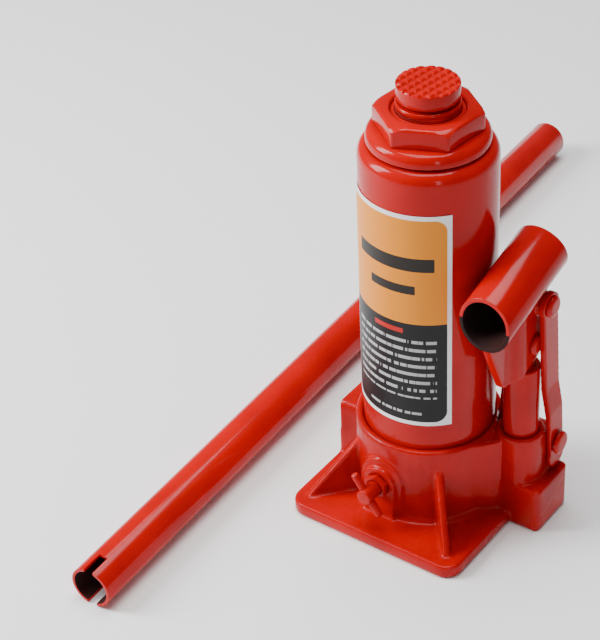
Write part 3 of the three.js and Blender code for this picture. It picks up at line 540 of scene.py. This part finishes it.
# ---------------------------------------------------------------- top nut and wiper
# A flanged hexagon nut with a chamfered crown, screwed down over the tank's rolled edge.
# A painted wiper ring and a collar under it close the gap round the ram.
NUT_FOOT = 205
FLANGE_RADIUS = 28.7
FLANGE_TOP = 211
NUT_TOP = 221
HEX_CORNER_RADIUS = 25.9
HEX_TURN = -7
NUT_BORE = 17.3
RAM_HOLE = 15.3


def ease_edges(piece, width, segments=3, angle=35):
    edge = piece.modifiers.new("edge", "BEVEL")
    edge.width = width * MM
    edge.segments = segments
    edge.limit_method = "ANGLE"
    edge.angle_limit = math.radians(angle)
    apply_modifiers(piece)
    smooth_faces(piece)


nut = turned(
    "top_nut_enamel",
    [
        (RAM_HOLE, NUT_FOOT),
        (FLANGE_RADIUS, NUT_FOOT),
        (FLANGE_RADIUS, 206.4),
        *roll(FLANGE_RADIUS, FLANGE_TOP, reach=4, height=4.6),
        (RAM_HOLE, FLANGE_TOP),
    ],
    144,
    closed=True,
)
bpy.ops.mesh.primitive_cylinder_add(
    vertices=6, radius=HEX_CORNER_RADIUS * MM, depth=10.4 * MM, location=(0, 0, 215.8 * MM)
)
hexagon = bpy.context.object
hexagon.rotation_euler = (0, 0, math.radians(HEX_TURN))
crown = turned(
    "crown",
    [(28, 209), (28, 216.2), (25.8, 218.6), (24.2, 220), (22.3, NUT_TOP), (18.1, NUT_TOP)],
    144,
)
ease_edges(hexagon, 1.2, 4, 50)
combine(hexagon, crown, "INTERSECT")
combine(nut, hexagon, "UNION")
combine(nut, turned("nut_bore", [(NUT_BORE, 202), (NUT_BORE, 220.3), (18.6, 221.6)], 120))
ease_edges(nut, 0.5, 3, 30)
add_piece(nut, enamel_red, "base", "top_nut")
wiper = turned(
    "wiper_ring",
    [(RAM_HOLE, 215.8), (17, 215.8), (17, 219.6), (RAM_HOLE, 220.2)],
    96,
    closed=True,
)
smooth_faces(wiper)
add_piece(wiper, enamel_red, "base", "ram_wiper_seal")
collar = turned(
    "nut_inner_collar",
    [(RAM_HOLE, 209.9), (17.35, 209.9), (17.35, 215.5), (RAM_HOLE, 215.5)],
    96,
    closed=True,
)
smooth_faces(collar)
add_piece(collar, enamel_red, "base")


# ---------------------------------------------------------------- inside pieces
# The pressure cylinder, balls, springs, screws and stop ring are steel, out of sight in the jack.
# Copper rings seal the cylinder and the pump sleeve, and black rubber seals the rest.
def bare(name, colour, deep, peel, lumps, share, rough, spread, bump, metal=0):
    return painted(name, colour, deep, peel, lumps, share, rough, spread, bump, 0, metal)


black_rubber = bare(
    "black_rubber",
    colour=(0.012, 0.012, 0.013),
    deep=(0.02, 0.02, 0.02),
    peel=300,
    lumps=60,
    share=0.4,
    rough=0.6,
    spread=0.12,
    bump=0.2,
)
soft_copper = bare(
    "soft_copper",
    colour=(0.62, 0.25, 0.11),
    deep=(0.45, 0.17, 0.08),
    peel=500,
    lumps=90,
    share=0.4,
    rough=0.32,
    spread=0.12,
    bump=0.15,
    metal=1,
)
bright_steel = bare(
    "bright_steel",
    colour=(0.62, 0.63, 0.65),
    deep=(0.5, 0.51, 0.53),
    peel=800,
    lumps=120,
    share=0.3,
    rough=0.2,
    spread=0.12,
    bump=0.1,
    metal=1,
)
spring_steel = bare(
    "spring_steel",
    colour=(0.3, 0.3, 0.32),
    deep=(0.2, 0.2, 0.21),
    peel=700,
    lumps=100,
    share=0.3,
    rough=0.3,
    spread=0.12,
    bump=0.1,
    metal=1,
)
for inner, material in {
    "pressure_cylinder": bright_steel,
    "piston_retainer": bright_steel,
    "release_ball": bright_steel,
    "suction_ball": bright_steel,
    "delivery_ball": bright_steel,
    "relief_ball": bright_steel,
    "relief_screw": bright_steel,
    "passage_plug": bright_steel,
    "delivery_spring": spring_steel,
    "relief_spring": spring_steel,
    "screw_stop_ring": spring_steel,
    "cylinder_gasket": soft_copper,
    "pump_sleeve_washer": soft_copper,
    "tank_gasket_lower": black_rubber,
    "tank_gasket_upper": black_rubber,
    "piston_cup": black_rubber,
    "plunger_seal": black_rubber,
    "release_oring": black_rubber,
}.items():
    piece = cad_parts[inner]
    piece.data.materials.clear()
    piece.data.materials.append(material)


# ---------------------------------------------------------------- ram and extension screw
# A ground steel ram, its end painted over, holds a threaded screw.
# The screw's red head is cut with a diamond grid of grooves, which grip what is lifted.
RAM_RADIUS = 15
RAM_BORE = 11.3
RAM_TOP = 222.2
SADDLE_TOP = 233.4
GROOVE_PITCH = 4.2
GROOVE_COUNT = 6
STEM_RADIUS = 9.9
THREAD_PITCH = 6


def placed(piece, place, turn=(0, 0, 0)):
    only(piece)
    piece.location = [value * MM for value in place]
    piece.rotation_euler = [math.radians(value) for value in turn]
    bpy.ops.object.transform_apply(location=True, rotation=True, scale=True)
    return piece


ram = turned(
    "ram_steel",
    [
        (5, 35),
        (5, 43.6),
        (RAM_RADIUS, 43.6),
        (RAM_RADIUS, RAM_TOP),
        (RAM_BORE, RAM_TOP),
        (RAM_BORE, 124),
    ],
    120,
)
smooth_faces(ram)
add_piece(ram, bright_steel, "ram", "ram")
ram_end = turned(
    "ram_end_painted",
    [
        (RAM_BORE, 222.3),
        (15.05, 222.3),
        *roll(15.05, 224.4, reach=1, height=1),
        (RAM_BORE, 224.4),
    ],
    120,
    closed=True,
)
smooth_faces(ram_end)
add_piece(ram_end, enamel_red, "ram")

head = turned(
    "screw_head_painted",
    [(9.8, 225.2), (14, 225.7), (14.6, 226.4), (14.6, 232.9), (14.1, SADDLE_TOP)],
    120,
)
bpy.ops.mesh.primitive_cube_add(size=1, location=(0, 0, 0))
groove = bpy.context.object
groove.scale = (34 * MM, 1.5 * MM, 1.5 * MM)
groove.rotation_euler = (math.radians(45), 0, 0)
bpy.ops.object.transform_apply(location=True, rotation=True, scale=True)
placed(groove, (0, (1 - GROOVE_COUNT) / 2 * GROOVE_PITCH, 0))
row = groove.modifiers.new("row", "ARRAY")
row.count = GROOVE_COUNT
row.use_relative_offset = False
row.use_constant_offset = True
row.constant_offset_displace = (0, GROOVE_PITCH * MM, 0)
apply_modifiers(groove)
for turn in (-8, 82):
    tool = groove.copy()
    tool.data = groove.data.copy()
    bpy.context.scene.collection.objects.link(tool)
    tool.location = (0, 0, 233.45 * MM)
    tool.rotation_euler = (0, 0, math.radians(turn))
    combine(head, tool)
bpy.data.objects.remove(groove)
ease_edges(head, 0.18, 2, 30)
add_piece(head, enamel_red, "extension_screw", "extension_screw")

stem = turned("screw_stem_steel", [(9.5, 132.4), (STEM_RADIUS, 133.4), (STEM_RADIUS, 225.5)], 96)
smooth_faces(stem)
add_piece(stem, bright_steel, "extension_screw")
bpy.ops.mesh.primitive_circle_add(
    vertices=4, radius=1.5 * MM, fill_type="NOTHING", location=(9.5 * MM, 0, 136 * MM)
)
thread = bpy.context.object
thread.name = "screw_thread_steel"
thread.rotation_euler = (math.radians(90), 0, 0)
bpy.ops.object.transform_apply(location=True, rotation=True, scale=True)
helix = thread.modifiers.new("helix", "SCREW")
helix.axis = "Z"
helix.screw_offset = THREAD_PITCH * MM
helix.iterations = 14
helix.steps = 48
helix.render_steps = 48
apply_modifiers(thread)
bpy.ops.object.mode_set(mode="EDIT")
bpy.ops.mesh.select_all(action="SELECT")
bpy.ops.mesh.fill_holes(sides=4)
bpy.ops.mesh.normals_make_consistent(inside=False)
bpy.ops.object.mode_set(mode="OBJECT")
smooth_faces(thread, 30)
add_piece(thread, bright_steel, "extension_screw")


# ---------------------------------------------------------------- filler plug
# A moulded black rubber plug with a round head.
# It is pushed into the filler hole in the tank's back.
PLUG_HEAD_RADIUS = 5.8
plug = turned(
    "filler_plug_rubber",
    [
        (3.9, 0),
        (3.9, 5.5),
        (PLUG_HEAD_RADIUS, 6.1),
        *roll(PLUG_HEAD_RADIUS, 7.9, reach=1.2, height=1.2),
    ],
    64,
)
placed(plug, (0, 27.4, FILLER_HEIGHT), (-90, 0, 0))
smooth_faces(plug)
add_piece(plug, black_rubber, "filler_plug", "filler_plug")


# ---------------------------------------------------------------- pump
# A sleeve in the casting's boss, with its plunger, all under the same enamel.
# The plunger's flat end carries the eye for the plunger pin.
PUMP_X = 47
PUMP_Y = 8.5
SLEEVE_RADIUS = 8.75
SLEEVE_BORE = 6.3
SLEEVE_TOP = 91
sleeve = turned(
    "pump_sleeve_enamel",
    [
        (SLEEVE_BORE, 38.5),
        (7.3, 38.5),
        (7.3, 50.5),
        (SLEEVE_RADIUS, 50.5),
        *roll(SLEEVE_RADIUS, SLEEVE_TOP, reach=1, height=1),
        (SLEEVE_BORE, SLEEVE_TOP),
    ],
    96,
    closed=True,
)
placed(sleeve, (PUMP_X, PUMP_Y, 0))
smooth_faces(sleeve)
add_piece(sleeve, enamel_red, "base", "pump_sleeve")
plunger = copy_of("pump_plunger", "pump_plunger_painted")
ease_edges(plunger, 0.35, 2, 40)
add_piece(plunger, enamel_red, "plunger", "pump_plunger")


# ---------------------------------------------------------------- handle socket
# A cut length of tube, its mouth trimmed at a slant, welded on a yoke that narrows to a front rib.
# The yoke's two cheeks hold the yoke pin and the plunger pin, and the tube's bore is near black:
# dark scale with painted shade over it.
YOKE_PIN_Y = 12.5
YOKE_PIN_Z = 126.5
SOCKET_TILT = 15.4
SOCKET_RISE = 18.67
SOCKET_RADIUS = 13.25
SOCKET_BORE = 11.35
SOCKET_FRONT = -42.5
SOCKET_BACK = 16.97
MOUTH_LEAN = 18
MOUTH_CUT = -36.03
MOUTH_TOOL = 60
# Near-black lining for the tube bores: dark mill scale, darkened further as painted shade inside
# the tubes.
bore_scale_and_painted_shade = painted(
    "bore_scale_and_painted_shade",
    colour=(0.012, 0.004, 0.004),
    deep=(0.03, 0.006, 0.005),
    peel=300,
    lumps=60,
    share=0.5,
    rough=0.55,
    spread=0.2,
    bump=0.3,
    coat=0,
)


# Gives the inward faces of a tube's bore the near-black lining of scale and painted shade.
def line_bore(piece, outer_limit):
    piece.data.materials.append(enamel_red)
    piece.data.materials.append(bore_scale_and_painted_shade)
    for face in piece.data.polygons:
        inward = face.normal.x * face.center.x + face.normal.y * face.center.y < 0
        if inward and math.hypot(face.center.x, face.center.y) < outer_limit * MM:
            face.material_index = 1


tilt = math.radians(SOCKET_TILT)
AXIS_POINT = (
    PUMP_X,
    YOKE_PIN_Y - SOCKET_RISE * math.sin(tilt),
    YOKE_PIN_Z + SOCKET_RISE * math.cos(tilt),
)
socket = turned(
    "socket_tube_enamel",
    [
        (SOCKET_BORE, SOCKET_FRONT),
        (SOCKET_RADIUS, SOCKET_FRONT),
        (SOCKET_RADIUS, SOCKET_BACK),
        (SOCKET_BORE, SOCKET_BACK),
    ],
    128,
    closed=True,
)
lean = math.radians(MOUTH_LEAN)
bpy.ops.mesh.primitive_cube_add(
    size=MOUTH_TOOL * MM,
    location=(
        0,
        -MOUTH_TOOL / 2 * MM * math.sin(lean),
        (MOUTH_CUT - MOUTH_TOOL / 2 * math.cos(lean)) * MM,
    ),
    rotation=(-lean, 0, 0),
)
combine(socket, bpy.context.object)
line_bore(socket, outer_limit=11.9)
placed(socket, AXIS_POINT, (SOCKET_TILT - 90, 0, 0))
ease_edges(socket, 0.35, 3, 40)
add_piece(socket, enamel_red, "handle_socket", "socket_tube")
yoke = copy_of("socket_yoke", "socket_yoke_painted")
soften(yoke, voxel=0.45, rounds=6)
add_piece(yoke, enamel_red, "handle_socket", "socket_yoke")


# ---------------------------------------------------------------- links and pins
# Two pressed straps, joggled outwards at the base, join the yoke pin to the base pin.
# These two and the plunger pin have domed heads, and a spring clip at the left end.
PIN_RADIUS = 3
CLIP_WIDTH = 1.2
for name in ("link_right", "link_left"):
    strap = copy_of(name, name + "_painted")
    soften(strap, voxel=0.4, rounds=5)
    add_piece(strap, enamel_red, "links", name)

for name, body, y, z, reach, head_radius in (
    ("plunger_pin", "handle_socket", PUMP_Y, 105.2, 6.8, 5.4),
    ("yoke_pin", "handle_socket", YOKE_PIN_Y, YOKE_PIN_Z, 12.5, 5.4),
    ("base_pin", "base", 19.8, 41.5, 15.3, 5.9),
):
    bolt = turned(
        name + "_enamel",
        [
            (PIN_RADIUS, -reach - 1.8),
            (PIN_RADIUS, reach),
            (head_radius, reach),
            *roll(head_radius, reach + 2, reach=2.2, height=1.5),
        ],
        64,
    )
    placed(bolt, (PUMP_X, y, z), (0, 90, 0))
    smooth_faces(bolt)
    add_piece(bolt, enamel_red, body, name)
    clip = turned(
        name + "_clip_ring",
        [(3.3, 0), (4.8, 0), (4.8, CLIP_WIDTH), (3.3, CLIP_WIDTH)],
        48,
        closed=True,
    )
    placed(clip, (PUMP_X - reach - CLIP_WIDTH, y, z), (0, 90, 0))
    smooth_faces(clip)
    add_piece(clip, spring_steel, body, name + "_clip")


# ---------------------------------------------------------------- release valve
# A round spindle out of a hexagon gland, with a slanted cross pin that the slotted handle turns.
# The paint lies thick over all three.
VALVE_X = -4.2
VALVE_Z = 26.5
SPINDLE_RADIUS = 4
NECK_RADIUS = 2.8
CROSS_PIN_TURN = -36
spindle = turned(
    "release_spindle_painted",
    [
        (3.2, -14.4),
        (SPINDLE_RADIUS, -12.4),
        (SPINDLE_RADIUS, -8),
        (NECK_RADIUS, -8),
        (NECK_RADIUS, -5.8),
        (SPINDLE_RADIUS, -5.8),
        *roll(SPINDLE_RADIUS, 13, reach=1, height=1),
    ],
    48,
)
placed(spindle, (VALVE_X, -40, VALVE_Z), (90, 0, 0))
smooth_faces(spindle)
add_piece(spindle, casting_red, "release_valve", "release_spindle")
cross = turned(
    "release_cross_pin_painted",
    [(1.4, -12.5), (2, -11.8), (2, 11.8), (1.4, 12.5)],
    40,
)
placed(cross, (VALVE_X, -49.6, VALVE_Z), (0, CROSS_PIN_TURN, 0))
smooth_faces(cross)
add_piece(cross, casting_red, "release_valve", "release_cross_pin")
gland = copy_of("release_gland", "release_gland_painted")
ease_edges(gland, 0.4, 3, 35)
add_piece(gland, casting_red, "base", "release_gland")


# ---------------------------------------------------------------- loose handle
# A long painted tube, open at both ends, its near end slotted to fit over the cross pin.
# It lies on the floor beside the jack, and its bore is near black: dark scale with painted shade
# over it.
HANDLE_RADIUS = 11
HANDLE_BORE = 9.4
HANDLE_LENGTH = 470
HANDLE_TURN = 2.8
SLOT_WIDTH = 5
SLOT_DEPTH = 12
handle = turned(
    "handle_tube_enamel",
    [
        (HANDLE_BORE, 0),
        (HANDLE_RADIUS, 0),
        (HANDLE_RADIUS, 230),
        (HANDLE_RADIUS, HANDLE_LENGTH),
        (HANDLE_BORE, HANDLE_LENGTH),
        (HANDLE_BORE, 230),
    ],
    96,
    closed=True,
)
bpy.ops.mesh.primitive_cube_add(size=1, location=(0, 0, (SLOT_DEPTH - 1) / 2 * MM))
bpy.context.object.scale = (SLOT_WIDTH * MM, 30 * MM, (SLOT_DEPTH + 1) * MM)
combine(handle, bpy.context.object)
line_bore(handle, outer_limit=10)
placed(handle, (-87, -162, HANDLE_RADIUS), (-90, 0, HANDLE_TURN))
ease_edges(handle, 0.3, 2, 40)
add_piece(handle, enamel_red, "handle", "handle_tube")
